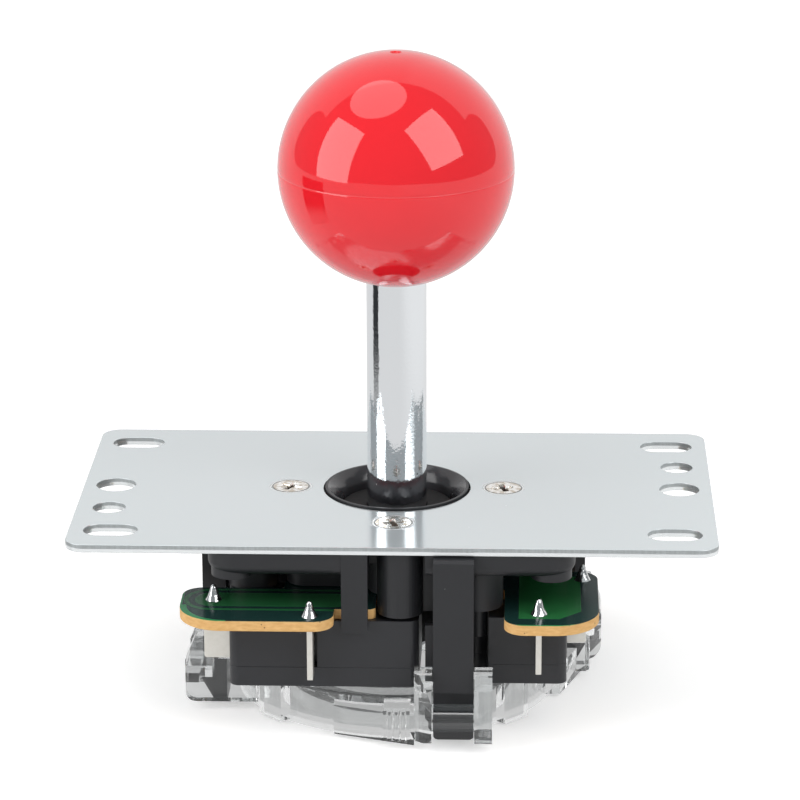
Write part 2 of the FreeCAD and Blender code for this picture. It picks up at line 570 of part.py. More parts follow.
def make_end_terminal(side, turn):
    body = new_body("end_terminal_" + side, turn)
    v = ("end_blade_v", "end_blade_v + blade_thick")
    blade = front_box(body, "end_blade_" + side, (SWITCH_FAR, f"{SWITCH_FAR} + end_blade_reach"), v,
                      ("switch_top - end_drop", BLADE_TOP))
    round_blade(body, "end_corners_" + side, blade, mm.switch_top - mm.end_drop)
    front_box(body, "end_root_" + side, (f"{SWITCH_FAR} - blade_root", SWITCH_FAR), v, ROOT)
    front_box(body, "end_tail_" + side, (f"{SWITCH_FAR} + end_tail - tail_wide / 2",
              f"{SWITCH_FAR} + end_tail + tail_wide / 2"), v, (BLADE_TOP, TAIL_TOP))


def tail_places():
    """Centres of a switch's two soldered tails, in u and v."""
    common = ("common_start + blade_thick / 2", f"{SWITCH_BACK} + common_tail")
    end = (f"{SWITCH_FAR} + end_tail", "end_blade_v + blade_thick / 2")
    return [("common", common), ("end", end)]


def make_board():
    """Four lobes that follow each other round the housing, joined by a ring at the middle."""
    body = new_body("circuit_board")
    bottom = "(switch_top)"
    notch_left = "(-switch_near + eye_margin + near_post_radius + notch_gap)"
    lobe = [("-notch_right", "notch_floor"), (notch_left, "notch_floor"), (notch_left, "bridge_outer"),
            ("lobe_start", "bridge_outer"), ("lobe_start", LOBE_OUTER), (LOBE_END, LOBE_OUTER),
            (LOBE_END, "notch_right")]
    corners = []
    for turn in range(4):
        for u, v in lobe:
            x, y = f"-({u})", f"-({v})"
            for _ in range(turn):
                x, y = y, f"-({x})"
            corners.append((x, y))
    board = pad(body, outline(body, "board_outline", "XY_Plane", corners, bottom), "board_thick")
    last = board
    outer_v = back_v + mm.lobe_margin
    end_u = far_u + mm.lobe_spare
    notch_u = -mm.switch_near + mm.eye_margin + mm.near_post_radius + mm.notch_gap
    for name, places, radius in (
            ("far_corners", quarter_turns(-end_u, -outer_v), "lobe_far_corner"),
            ("lobe_corners", quarter_turns(-mm.lobe_start, -outer_v) + quarter_turns(-end_u, -mm.notch_right),
             "lobe_corner"),
            ("bridge_corners", quarter_turns(-notch_u, -mm.bridge_outer), "bridge_corner")):
        last = round_edges(body, name, last, lambda e: upright(e, places), radius)
    through = (f"{bottom} - 1", f"{bottom} + board_thick + 1")
    rod(body, "board_eye", "board_hole", through, cut=True)
    holes = [rod(body, f"{name}_tail_hole", "tail_hole", through, f"-({u})", f"-({v})", cut=True)
             for name, (u, v) in tail_places()]
    four(body, "tail_holes", holes)


def make_solder():
    """A cone of solder round each tail where it comes through the board."""
    body = new_body("solder_joints")
    body.AllowCompound = True
    top = "(switch_top + board_thick)"
    drops, tails = [], []
    for name, (u, v) in tail_places():
        drops.append(cone(body, f"{name}_solder", "solder_foot", "solder_tip", (top, f"{top} + solder_height"),
                          f"-({u})", f"-({v})"))
    four(body, "drops", drops)
    for name, (u, v) in tail_places():
        half_u, half_v = ("blade_thick / 2", "tail_wide / 2")[::1 if name == "common" else -1]
        tails.append(front_box(body, f"{name}_tail_slot", (f"{u} - {half_u}", f"{u} + {half_u}"),
                               (f"{v} - {half_v}", f"{v} + {half_v}"), (f"{top} - 1", TAIL_TOP), cut=True))
    four(body, "tail_slots", tails)


def make_header():
    body = new_body("harness_header", 180)
    foot = "(switch_top + board_thick)"
    u = ("header_start", "header_start + header_wide")
    front_box(body, "header_block", u, (HEADER_INNER, HEADER_OUTER), (foot, f"{foot} + header_tall"))
    front_box(body, "header_cavity", ("header_start + header_wall", "header_start + header_wide - header_wall"),
              (f"{HEADER_INNER} + header_floor", f"{HEADER_OUTER} + 1"),
              (f"{foot} + header_wall", f"{foot} + header_tall - header_wall"), cut=True)
    front_box(body, "header_key", ("header_start + key_start", "header_start + key_start + key_wide"),
              (f"{HEADER_OUTER} - key_deep", f"{HEADER_OUTER} + 1"),
              (f"{foot} + header_tall - header_wall - 1", f"{foot} + header_tall + 1"), cut=True)
    middle = f"{foot} + header_tall / 2"
    for i in range(5):
        u = f"header_start + header_wide / 2 + {i - 2} * pin_pitch"
        front_box(body, f"pin_hole_{i}", (f"{u} - pin_half", f"{u} + pin_half"),
                  (f"{HEADER_INNER} - 1", f"{HEADER_INNER} + header_floor + 1"),
                  (f"{middle} - pin_half", f"{middle} + pin_half"), cut=True)


def make_pins():
    """Five square pins, each bent down behind the header into the board."""
    body = new_body("header_pins", 180)
    body.AllowCompound = True
    foot = "(switch_top + board_thick)"
    middle = f"{foot} + header_tall / 2"
    back = f"({HEADER_INNER} - pin_short)"
    for i in range(5):
        u = f"header_start + header_wide / 2 + {i - 2} * pin_pitch"
        across = (f"{u} - pin_half", f"{u} + pin_half")
        front_box(body, f"pin_{i}", across, (back, f"{HEADER_OUTER} - pin_short"),
                  (f"{middle} - pin_half", f"{middle} + pin_half"))
        front_box(body, f"pin_leg_{i}", across, (back, f"{back} + 2 * pin_half"), (foot, f"{middle} + pin_half"))


def make_gate():
    """The clear gate: a round tray with a fin and a ribbed block before each latch loop, a rim
    under the switches and a block at each diagonal."""
    body = new_body("gate")
    rod(body, "tray", "ring_radius", ("gate_bottom", RIM_TOP))
    rod(body, "rim", "rim_radius", (f"{RIM_TOP} - rim_thick", RIM_TOP))
    inner = "(leg_start - cheek_gap)"
    outer = "(leg_start + leg_width + cheek_gap)"
    bar_inner = f"({CHEEK_OUTER} - bar_thick)"
    step = f"({SWITCH_BACK} + cheek_step_gap)"
    profile = [("-cheek_inner", "cheek_bottom"), (f"-{CHEEK_OUTER}", "cheek_bottom"),
               (f"-{CHEEK_OUTER}", "cheek_shoulder"), (f"-{CHEEK_OUTER} + cheek_bevel", "cheek_top"),
               (f"-{step}", "cheek_top"), (f"-{step}", RIM_TOP), ("-cheek_inner", RIM_TOP)]
    cheeks = [pad(body, outline(body, name, "YZ_Plane", profile, start), "cheek_thick")
              for name, start in (("inner_cheek", f"{inner} - cheek_thick"), ("outer_cheek", outer))]
    between = (f"-{outer}", f"-{inner}")
    bar = front_box(body, "bar", between, (bar_inner, CHEEK_OUTER), ("bar_bottom", "bar_top"))
    ledge = front_box(body, "ledge", between, (f"{NECK_OUTER} + ledge_gap", bar_inner),
                      ("ledge_bottom", "bar_top"))
    fin_high = f"({CHEEK_OUTER} - fin_setback)"
    fin_side = f"({inner} - cheek_thick)"
    fin = pad(body, outline(body, "fin", "XY_Plane", [
        ("-fin_start", "-fin_root"), (fin_side, "-fin_root"), (fin_side, f"-{fin_high}"),
        ("-fin_start", "-fin_low")], "fin_bottom"), "fin_top - fin_bottom")
    ribbed = front_box(body, "ribbed_block", ("ribbed_start - ribbed_wide", "ribbed_start"),
                       ("fin_root", "ribbed_reach"), ("ribbed_bottom", "ribbed_top"))
    ribs = [rod(body, f"block_rib_{i}", "ribbed_round", ("ribbed_bottom", "ribbed_top"),
                f"-ribbed_start + {i} * ribbed_wide / 4", "-ribbed_reach") for i in (1, 2, 3)]
    block = pad(body, outline(body, "corner_block", "XY_Plane", [
        (f"-({radius} {left} block_long / 2) * sqrt(0.5)", f"-({radius} {front} block_long / 2) * sqrt(0.5)")
        for radius, left, front in (("block_reach", "-", "+"), ("block_reach", "+", "-"),
                                    ("fin_root", "+", "-"), ("fin_root", "-", "+"))],
        "block_bottom"), f"{RIM_TOP} - rim_thick - block_bottom")
    loops = four(body, "loops", cheeks + [bar, ledge, fin, ribbed, block] + ribs)
    round_edges(body, "toes", loops, lambda e: level_edge(e, mm.cheek_bottom, mm.cheek_thick), "cheek_round")
    corner = outline(body, "mitre_outline", "XY_Plane", [
        (fin_side, f"-{fin_high}"), (inner, f"-{CHEEK_OUTER}"), (inner, f"-{CHEEK_OUTER} - 1"),
        (fin_side, f"-{CHEEK_OUTER} - 1")], "cheek_top + 1")
    mitre = body.newObject("PartDesign::Pocket", "cheek_mitre")
    mitre.Profile = corner
    bind(mitre, Length="cheek_top + 1 - cheek_bottom + 1")
    four(body, "mitres", [mitre])
    rod(body, "tray_inside", "ring_radius - ring_wall", ("gate_bottom + floor_thick", f"{RIM_TOP} + 1"), cut=True)
    rod(body, "tray_opening", "floor_opening", ("gate_bottom - 1", "gate_bottom + floor_thick + 1"), cut=True)


def make_restrictor():
    body = new_body("restrictor_plate")
    low = "(gate_bottom + floor_thick)"
    level = (low, f"{low} + restrictor_thick")
    rod(body, "disc", "restrictor_radius", level)
    square = ("-restrictor_half", "restrictor_half")
    doc.recompute()
    hole = box(body, "square_opening", square, square, (f"{low} - 1", f"{low} + restrictor_thick + 1"), cut=True)
    corners = [(sx * mm.restrictor_half, sy * mm.restrictor_half) for sx in (-1, 1) for sy in (-1, 1)]
    round_edges(body, "opening_corners", hole, lambda e: upright(e, corners), "restrictor_corner")


make_plate()
make_screws()
make_housing()
make_pivot()
make_shaft()
make_ball()
make_insert()
make_e_clip()
make_actuator()
make_washer()
make_spring()
for side, turn in QUARTERS:
    make_case(side, turn)
    make_cover(side, turn)
    make_plunger(side, turn)
    make_common_terminal(side, turn)
    make_end_terminal(side, turn)
make_board()
make_solder()
make_header()
make_pins()
make_gate()
make_restrictor()

doc.recompute()
for item in doc.Objects:
    if "Invalid" in item.State or "Error" in item.State:
        raise RuntimeError(f"{item.Label} failed: {item.State}")
for item in bodies:
    if item.Shape.isNull() or not item.Shape.isValid() or not item.Shape.Solids:
        raise RuntimeError(f"{item.Label} has no valid solid")
os.makedirs("parts", exist_ok=True)
for item in bodies:
    item.Shape.exportStep(f"parts/{item.Label}.step")
    print(f"{item.Label}: {len(item.Shape.Solids)} solids, {item.Shape.Volume:.1f} mm3")
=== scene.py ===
import math

import bmesh
import bpy
from mathutils import Matrix, Vector


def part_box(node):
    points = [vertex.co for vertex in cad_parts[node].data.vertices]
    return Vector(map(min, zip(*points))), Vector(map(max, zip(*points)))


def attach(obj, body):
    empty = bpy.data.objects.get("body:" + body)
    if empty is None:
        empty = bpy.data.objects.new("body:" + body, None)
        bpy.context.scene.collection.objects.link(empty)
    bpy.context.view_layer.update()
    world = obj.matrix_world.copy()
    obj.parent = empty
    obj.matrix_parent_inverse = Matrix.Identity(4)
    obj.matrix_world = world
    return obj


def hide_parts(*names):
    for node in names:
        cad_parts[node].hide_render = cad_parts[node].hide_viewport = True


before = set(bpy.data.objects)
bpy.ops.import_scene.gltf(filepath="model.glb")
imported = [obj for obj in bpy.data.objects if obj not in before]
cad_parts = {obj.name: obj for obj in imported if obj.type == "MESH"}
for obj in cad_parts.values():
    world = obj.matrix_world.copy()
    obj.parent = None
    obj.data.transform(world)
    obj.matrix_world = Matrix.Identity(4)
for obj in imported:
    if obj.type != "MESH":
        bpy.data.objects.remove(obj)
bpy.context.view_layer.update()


# Camera
# A long lens half a metre in front of the lever and a little above it, as far to the right of
# its middle as in the photograph.
camera_place = (0.01955, -0.52402, 0.17999)
camera_azimuth, camera_elevation, camera_roll = 2.084, 17.584, -0.172
camera_data = bpy.data.cameras.new("camera")
camera_data.lens = 164.7
camera_data.clip_end = 20
camera = bpy.data.objects.new("camera", camera_data)
turn = (Matrix.Rotation(math.radians(camera_azimuth), 4, "Z")
        @ Matrix.Rotation(math.radians(90 - camera_elevation), 4, "X")
        @ Matrix.Rotation(math.radians(camera_roll), 4, "Z"))
camera.matrix_world = Matrix.Translation(camera_place) @ turn
bpy.context.scene.collection.objects.link(camera)
bpy.context.scene.camera = camera
bpy.context.scene.view_settings.view_transform = "Standard"


# Table and studio
# A white table under the gate, with a white sheet that rises behind it and bends over the top.
# Two window-shaped softboxes stand to the left and right, and a round one hangs above. A black
# card that lies far to the left draws the dark line along the chrome.
class Wire:
    """A node's socket. An expression on wires and numbers adds its Math nodes."""

    def __init__(self, graph, socket):
        self.graph, self.socket = graph, socket

    def __add__(self, other):
        return self.graph.maths("ADD", self, other)

    def __sub__(self, other):
        return self.graph.maths("SUBTRACT", self, other)

    def __rsub__(self, other):
        return self.graph.maths("SUBTRACT", other, self)

    def __mul__(self, other):
        return self.graph.maths("MULTIPLY", self, other)

    def __truediv__(self, other):
        return self.graph.maths("DIVIDE", self, other)

    def __pow__(self, other):
        return self.graph.maths("POWER", self, other)

    def __gt__(self, other):
        return self.graph.maths("GREATER_THAN", self, other)

    def __lt__(self, other):
        return self.graph.maths("LESS_THAN", self, other)

    __radd__ = __add__
    __rmul__ = __mul__


class Graph:
    """A node tree whose nodes are added one call at a time."""

    def node(self, kind, settings=None, out=0, **sockets):
        """Adds a node. A socket is named in words joined by _, or by s and its number."""
        made = self.tree.nodes.new(kind)
        for name, value in (settings or {}).items():
            setattr(made, name, value)
        for name, value in sockets.items():
            number = name[1:].isdigit()
            socket = made.inputs[int(name[1:])] if number else made.inputs[name.replace("_", " ")]
            wires = value if isinstance(value, list) else [value]
            if isinstance(wires[0], Wire):
                for wire in wires:
                    self.tree.links.new(wire.socket, socket)
            elif socket.type == "RGBA":
                socket.default_value = (*value[:3], 1)
            else:
                socket.default_value = value
        return Wire(self, made.outputs[out])

    def maths(self, operation, *values):
        sockets = {f"s{i}": value for i, value in enumerate(values)}
        return self.node("ShaderNodeMath", {"operation": operation}, **sockets)

    def axes(self, vector):
        made = self.node("ShaderNodeSeparateXYZ", s0=vector).socket.node
        return [Wire(self, made.outputs[i]) for i in range(3)]


class Paint(Graph):
    """A material, or the world."""

    def __init__(self, name, world=False):
        self.owner = bpy.data.worlds.new(name) if world else bpy.data.materials.new(name)
        self.owner.use_nodes = True
        self.tree = self.owner.node_tree
        self.tree.nodes.clear()
        ending = "ShaderNodeOutputWorld" if world else "ShaderNodeOutputMaterial"
        self.output = self.tree.nodes.new(ending)

    def blend(self, factor, below, above):
        """One colour over another."""
        return self.node("ShaderNodeMix", {"data_type": "RGBA"}, out=2, s0=factor, s6=below, s7=above)

    def place(self):
        """Where a point lies on the object, in metres."""
        return self.node("ShaderNodeTexCoord", out="Object")

    def facing(self):
        """How far a face looks up, from -1 to 1."""
        return self.axes(self.node("ShaderNodeNewGeometry", out="Normal"))[2]

    def noise(self, scale, detail=3, stretch=(1, 1, 1)):
        """Even noise, from 0 to 1, with its grain at 1 / scale metres."""
        scaled = self.node("ShaderNodeMapping", Vector=self.place(), Scale=stretch)
        return self.node("ShaderNodeTexNoise", Vector=scaled, Scale=scale, Detail=detail)

    def specks(self, scale, size):
        """Round specks, 1 inside. The size is a part of the distance between them."""
        cells = self.node("ShaderNodeTexVoronoi", out="Distance", Vector=self.place(), Scale=scale)
        return 1 - self.smooth(cells, size * 0.5, size)

    def smooth(self, value, low, high):
        """0 below one value, 1 above the other, with a soft step between them."""
        return self.node("ShaderNodeMapRange", {"interpolation_type": "SMOOTHSTEP"}, Value=value,
                         From_Min=low, From_Max=high)

    def bump(self, height, distance, strength):
        return self.node("ShaderNodeBump", Height=height, Distance=distance, Strength=strength)

    def length(self, x, y):
        """How far a point is from where both its coordinates are 0."""
        return self.maths("SQRT", x * x + y * y)

    def glow(self, colour, strength):
        return self.node("ShaderNodeEmission", Color=colour, Strength=strength)

    def ray(self, *kinds):
        """1 for a ray of any of the given kinds."""
        paths = self.node("ShaderNodeLightPath").socket.node
        either, *others = [Wire(self, paths.outputs[f"Is {kind} Ray"]) for kind in kinds]
        for wire in others:
            either = self.maths("MAXIMUM", either, wire)
        return either

    def close(self, shader):
        """Ends the tree with a shader. Returns the material or the world."""
        self.tree.links.new(shader.socket, self.output.inputs[0])
        return self.owner

    def finish(self, **sockets):
        """The surface itself. Returns the material."""
        return self.close(self.node("ShaderNodeBsdfPrincipled", **sockets))


def link(name, mesh, material=None):
    """A new object at the origin, whose place is in its mesh."""
    made = bpy.data.objects.new(name, mesh)
    bpy.context.scene.collection.objects.link(made)
    if material:
        mesh.materials.clear()
        mesh.materials.append(material)
    return made


def paper(name, lines, material):
    """A sheet of paper through rows of two points each."""
    shape = bmesh.new()
    rows = [[shape.verts.new(point) for point in line] for line in lines]
    for low, high in zip(rows, rows[1:]):
        shape.faces.new((low[0], low[1], high[1], high[0]))
    mesh = bpy.data.meshes.new(name)
    shape.to_mesh(mesh)
    shape.free()
    mesh.shade_smooth()
    made = link(name, mesh, material)
    return made


plain_white = (1, 1, 1)
table_white, overexposed = (0.86, 0.86, 0.86), 0.45
mirrored_low, mirrored_high = 0.8, 1.0
rise_start, rise_end, rise_share = 0.05, 0.2, 0.4
right_start, right_end, right_share = 0.03, 0.2, 0.6
shade_start, shade_end, shade_everywhere, shade_under = 0.016, 0.036, 0.2, 0.24
white = Paint("white_table")
x, y, rise = white.axes(white.place())
matt = white.node("ShaderNodeBsdfDiffuse", Color=table_white)
lift = white.node("ShaderNodeMixShader", s0=overexposed * white.ray("Camera"),
                  s2=white.glow(plain_white, 1.0))
seen = white.node("ShaderNodeAddShader", s0=matt, s1=lift)
# For reflections the table and sheet glow with painted light, brighter up the sheet and towards the right,
# where the softboxes light them.
painted_brightening = (rise_share * white.smooth(rise, rise_start, rise_end)
            + right_share * white.smooth(x, right_start, right_end))
mirrored = white.node("ShaderNodeMixShader", s0=painted_brightening, s1=white.glow(plain_white, mirrored_low),
                      s2=white.glow(plain_white, mirrored_high))
# Seen through the clear plastic, the table is dimmer everywhere and darker still round the middle: a painted
# shadow under the gate.
under = 1 - white.smooth(white.length(x, y), shade_start, shade_end)
dimmed = (shade_everywhere + shade_under * under) * white.ray("Transmission")
refracted = white.node("ShaderNodeMixShader", s0=dimmed, s1=mirrored)
white_table = white.close(white.node("ShaderNodeMixShader", s0=white.ray("Glossy", "Transmission"), s1=seen,
                                     s2=refracted))

table_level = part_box("gate")[0].z
sheet_half, sheet_front, sheet_back, sheet_bend, sheet_top, sheet_lip = 1.3, -2.5, 0.75, 0.35, 0.95, 0.22
bend_steps = 12
sweep_low, sweep_high = [], []
for step in range(bend_steps + 1):
    angle = math.pi / 2 * step / bend_steps
    out, in_again = sheet_bend * math.sin(angle), sheet_bend * (1 - math.cos(angle))
    sweep_low.append((sheet_back - sheet_bend + out, table_level + in_again))
    sweep_high.append((sheet_back - in_again, sheet_top - sheet_bend + out))
sweep = [(sheet_front, table_level), *sweep_low, *sweep_high, (sheet_lip, sheet_top)]
paper("white_sheet", [[(side * sheet_half, y, z) for side in (-1, 1)] for y, z in sweep], white_table)

card_near, card_far, card_rise, card_sides = 0.11, 0.7, 0.001, (-98, -71)
ink_start, ink_end, faded_glow, inked_glow, blue_black = 0.12, 0.19, 0.6, 0.04, (0.9, 0.95, 1)
black = Paint("black_paper")
x, y, _ = black.axes(black.place())
ink = black.smooth(black.length(x, y), ink_start, ink_end)
black_paper = black.close(black.node("ShaderNodeMixShader", s0=ink, s1=black.glow(plain_white, faded_glow),
                                     s2=black.glow(blue_black, inked_glow)))
card_lines = [[(away * math.sin(math.radians(side)), -away * math.cos(math.radians(side)),
                table_level + card_rise) for side in card_sides] for away in (card_near, card_far)]
black_card = paper("black_card", card_lines, black_paper)
black_card.visible_camera = False
black_card.visible_diffuse = False
black_card.visible_transmission = False
black_card.visible_shadow = False

soft_level, room_grey = 0.32, (0.28, 0.30, 0.31)
room = Paint("studio_room", world=True)
soft_light = room.node("ShaderNodeBackground", Color=plain_white, Strength=soft_level)
dark_room = room.node("ShaderNodeBackground", Color=room_grey, Strength=1.0)
white_room = room.node("ShaderNodeBackground", Color=plain_white, Strength=1.0)
lit_room = room.node("ShaderNodeMixShader", s0=room.ray("Glossy", "Transmission"), s1=soft_light,
                     s2=dark_room)
bpy.context.scene.world = room.close(
    room.node("ShaderNodeMixShader", s0=room.ray("Camera"), s1=lit_room, s2=white_room))

ball_low, ball_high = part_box("ball_top")
ball_radius = (ball_high.x - ball_low.x) / 2
ball_centre = Vector((0, 0, ball_high.z - ball_radius))
softbox_away = 0.62
for name, azimuth, elevation, tilt, shape, wide, tall, watts in (
        ("left_softbox", -62, 21, 0, "RECTANGLE", 0.42, 0.56, 2.2),
        ("right_softbox", 50, 36, 12, "RECTANGLE", 0.44, 0.54, 2.2),
        ("round_softbox", -75, 76, 0, "DISK", 0.5, 0.5, 1.05)):
    lamp = bpy.data.lights.new(name, "AREA")
    lamp.shape, lamp.size, lamp.energy = shape, wide, watts
    if shape == "RECTANGLE":
        lamp.size_y = tall
    flat = math.cos(math.radians(elevation))
    towards = Vector((math.sin(math.radians(azimuth)) * flat, -math.cos(math.radians(azimuth)) * flat,
                      math.sin(math.radians(elevation))))
    holder = bpy.data.objects.new(name, lamp)
    aim = towards.to_track_quat("Z", "Y").to_matrix().to_4x4()
    aim = aim @ Matrix.Rotation(math.radians(tilt), 4, "Z")
    holder.matrix_world = Matrix.Translation(ball_centre + towards * softbox_away) @ aim
    bpy.context.scene.collection.objects.link(holder)


# Mounting plate
# A punched blank of bright zinc-plated sheet steel. The press leaves the lower half of each cut
# smooth and bright and tears the upper half dull. Plating is bruised in rings round the screws.
weld_distance = 2e-6
flat_angle, sharp_angle = math.radians(0.4), math.radians(35)


def node_shape(node):
    """A CAD node's own shape, with its triangles joined."""
    shape = bmesh.new()
    shape.from_mesh(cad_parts[node].data)
    bmesh.ops.remove_doubles(shape, verts=shape.verts, dist=weld_distance)
    return shape


def node_copy(node):
    """A new mesh of a CAD node's shape, with whole flat faces."""
    shape = node_shape(node)
    bmesh.ops.dissolve_limit(shape, angle_limit=flat_angle, verts=shape.verts, edges=shape.edges)
    mesh = bpy.data.meshes.new(node + "_finished")
    shape.to_mesh(mesh)
    shape.free()
    return mesh


def bake_modifiers(piece):
    """Turns what the modifiers make into a plain mesh."""
    bpy.context.view_layer.update()
    made = bpy.data.meshes.new_from_object(piece.evaluated_get(bpy.context.evaluated_depsgraph_get()))
    piece.modifiers.clear()
    piece.data = made


def ease(piece, width):
    """Smooth shading, with the sharp edges broken by a narrow round."""
    piece.data.shade_smooth()
    piece.data.set_sharp_from_angle(angle=sharp_angle)
    if width:
        bevel = piece.modifiers.new("edges", "BEVEL")
        bevel.width, bevel.segments = width, 3
        bevel.limit_method, bevel.angle_limit = "ANGLE", sharp_angle
        bevel.miter_outer = "MITER_ARC"
        weighted = piece.modifiers.new("flat_faces", "WEIGHTED_NORMAL")
        weighted.keep_sharp = True
        bake_modifiers(piece)


def stand_for(piece, node, body="root"):
    """Puts a finished piece in its CAD node's stead."""
    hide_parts(node)
    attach(piece, body)


def dress(node, width, material, body="root"):
    """A CAD node's own shape, eased and painted."""
    piece = link(node + "_finished", node_copy(node), material)
    ease(piece, width)
    stand_for(piece, node, body)


head_radius = 0.00265
screw_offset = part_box("plate_screws")[1].x - head_radius
torn_above, torn_blur = -0.0006, 0.00006
bruise_start, bruise_end, bruise_wander, ripples = 0.0035, 0.0042, 0.0014, 15000
countersink_start, countersink_end = 0.0001, 0.0003
bright_zinc, smooth_cut, torn_cut = (0.70, 0.755, 0.77), (0.90, 0.93, 0.94), (0.28, 0.29, 0.29)
crest_highlight_white, furrow_shade_grey, grime_and_gap_shade = (1.0, 0.99, 0.97), (0.22, 0.21, 0.20), (0.12, 0.11, 0.10)

zinc = Paint("bright_zinc_plate")
x, y, z = zinc.axes(zinc.place())
flat_face = zinc.smooth(zinc.maths("ABSOLUTE", zinc.facing()), 0.4, 0.7)
torn = zinc.smooth(z, torn_above - torn_blur, torn_above + torn_blur) * (1 - flat_face)
sheared = zinc.noise(2500, stretch=(1, 1, 0.12))
wide_x, wide_y = zinc.maths("ABSOLUTE", x), zinc.maths("ABSOLUTE", y)
from_screw = zinc.length(zinc.maths("MAXIMUM", wide_x, wide_y) - screw_offset,
                         zinc.maths("MINIMUM", wide_x, wide_y))
bruise = 1 - zinc.smooth(from_screw + bruise_wander * zinc.noise(450), bruise_start, bruise_end)
crumpled = zinc.maths("SINE", from_screw * ripples + 14 * zinc.noise(420)) * 0.5 + 0.5
# The crumples' crests are painted white as a painted highlight, and their furrows dark as painted shade.
painted_crest_highlight, painted_furrow_shade = zinc.smooth(crumpled, 0.6, 0.9), 0.8 * (1 - zinc.smooth(crumpled, 0.04, 0.16))
# A painted shade darkens the narrow gap round each screw head, in the same dark colour as the real dirt
# specks.
gap_shade = 1 - zinc.smooth(from_screw, head_radius + countersink_start, head_radius + countersink_end)
dirt = zinc.specks(260, 0.028) * zinc.smooth(zinc.noise(150), 0.52, 0.56)
rolled = zinc.noise(900, detail=2, stretch=(1, 0.15, 1))
plate_colour = zinc.blend((1 - flat_face) * (1 - torn), bright_zinc, smooth_cut)
plate_colour = zinc.blend(torn * (0.35 + 0.5 * sheared), plate_colour, torn_cut)
plate_colour = zinc.blend(bruise * painted_crest_highlight, plate_colour, crest_highlight_white)
plate_colour = zinc.blend(bruise * painted_furrow_shade, plate_colour, furrow_shade_grey)
zinc_paint = zinc.finish(
    Base_Color=zinc.blend(zinc.maths("MAXIMUM", dirt, gap_shade) * 0.75, plate_colour, grime_and_gap_shade), Metallic=0.66,
    Roughness=0.11 + 0.05 * zinc.noise(60, detail=4) + 0.28 * torn + 0.2 * bruise + 0.4 * dirt,
    Normal=zinc.bump(0.2 * rolled + 3.0 * sheared * torn + 3.0 * crumpled * bruise, 0.00002, 0.5))
dress("mounting_plate", 0.00016, zinc_paint)


# Plate screws
# Four nickel-plated steel screws that hold the housing under the plate. Each has a countersunk
# head with a punched cross recess, and is driven home at its own angle.
class Growth(Graph):
    """A Geometry Nodes tree with named inputs, which copies one shape to many places."""

    def __init__(self, name, **inputs):
        self.name = name
        self.tree = bpy.data.node_groups.new(name, "GeometryNodeTree")
        sockets = self.tree.interface
        sockets.new_socket("Geometry", in_out="INPUT", socket_type="NodeSocketGeometry")
        sockets.new_socket("Geometry", in_out="OUTPUT", socket_type="NodeSocketGeometry")
        self.given = {}
        for word, value in inputs.items():
            kind = {int: "NodeSocketInt", float: "NodeSocketFloat"}.get(type(value), "NodeSocketMaterial")
            socket = sockets.new_socket(word.replace("_", " "), in_out="INPUT", socket_type=kind)
            self.given[socket.identifier] = value
        self.source = self.tree.nodes.new("NodeGroupInput")

    def get(self, word):
        return Wire(self, self.source.outputs[word])

    def vector(self, x=0.0, y=0.0, z=0.0):
        return self.node("ShaderNodeCombineXYZ", X=x, Y=y, Z=z)

    def moved(self, shape, place, turn=(0, 0, 0), scale=(1, 1, 1)):
        return self.node("GeometryNodeTransform", Geometry=shape, Translation=place, Rotation=turn,
                         Scale=scale)

    def taper(self, low, high, low_radius, high_radius, sides=48):
        """A cone between two heights."""
        cone = self.node("GeometryNodeMeshCone", Vertices=sides, Radius_Top=high_radius,
                         Radius_Bottom=low_radius, Depth=high - low)
        return self.moved(cone, self.vector(z=low))

    def join(self, *shapes):
        return self.node("GeometryNodeMeshBoolean", {"operation": "UNION", "solver": "EXACT"},
                         Mesh_2=list(shapes))

    def cut(self, shape, tool):
        return self.node("GeometryNodeMeshBoolean", {"operation": "DIFFERENCE", "solver": "EXACT"},
                         Mesh_1=shape, Mesh_2=tool)

    def grow(self, places, shape, turn=(0, 0, 0), lumps=None):
        """Copies the shape to every place, as one plain mesh. Returns its object."""
        copies = self.node("GeometryNodeInstanceOnPoints", Points=self.get("Geometry"), Instance=shape,
                           Rotation=turn)
        made = self.node("GeometryNodeRealizeInstances", Geometry=copies)
        if lumps:
            made = self.node("GeometryNodeSetPosition", Geometry=made, Offset=lumps)
        made = self.node("GeometryNodeSetMaterial", Geometry=made, Material=self.get("Material"))
        end = self.tree.nodes.new("NodeGroupOutput")
        self.tree.links.new(made.socket, end.inputs[0])
        mesh = bpy.data.meshes.new(self.name)
        mesh.from_pydata(places, [], [])
        piece = link(self.name, mesh)
        copier = piece.modifiers.new("copies", "NODES")
        copier.node_group = self.tree
        for identifier, value in self.given.items():
            copier[identifier] = value
        bake_modifiers(piece)
        return piece


def middles(node):
    """The middle of each separate solid of a CAD node, from left to right, and the first one's size."""
    shape = node_shape(node)
    unseen, found = set(shape.verts), []
    for start in shape.verts:
        if start not in unseen:
            continue
        unseen.discard(start)
        group, waiting = [], [start]
        while waiting:
            vertex = waiting.pop()
            group.append(vertex.co.copy())
            for edge in vertex.link_edges:
                near = edge.other_vert(vertex)
                if near in unseen:
                    unseen.discard(near)
                    waiting.append(near)
        low = Vector([min(point[i] for point in group) for i in range(3)])
        high = Vector([max(point[i] for point in group) for i in range(3)])
        found.append(((low + high) / 2, high - low))
    shape.free()
    found.sort(key=lambda pair: (round(pair[0].x, 5), round(pair[0].y, 5)))
    return [middle for middle, size in found], found[0][1]


bright_nickel, stained_nickel, recess_shade_colour = (0.95, 0.93, 0.90), (0.60, 0.53, 0.44), (0.07, 0.055, 0.04)
recess_shade_full, recess_shade_start = -0.00042, -0.00008
nickel = Paint("nickel_plate")
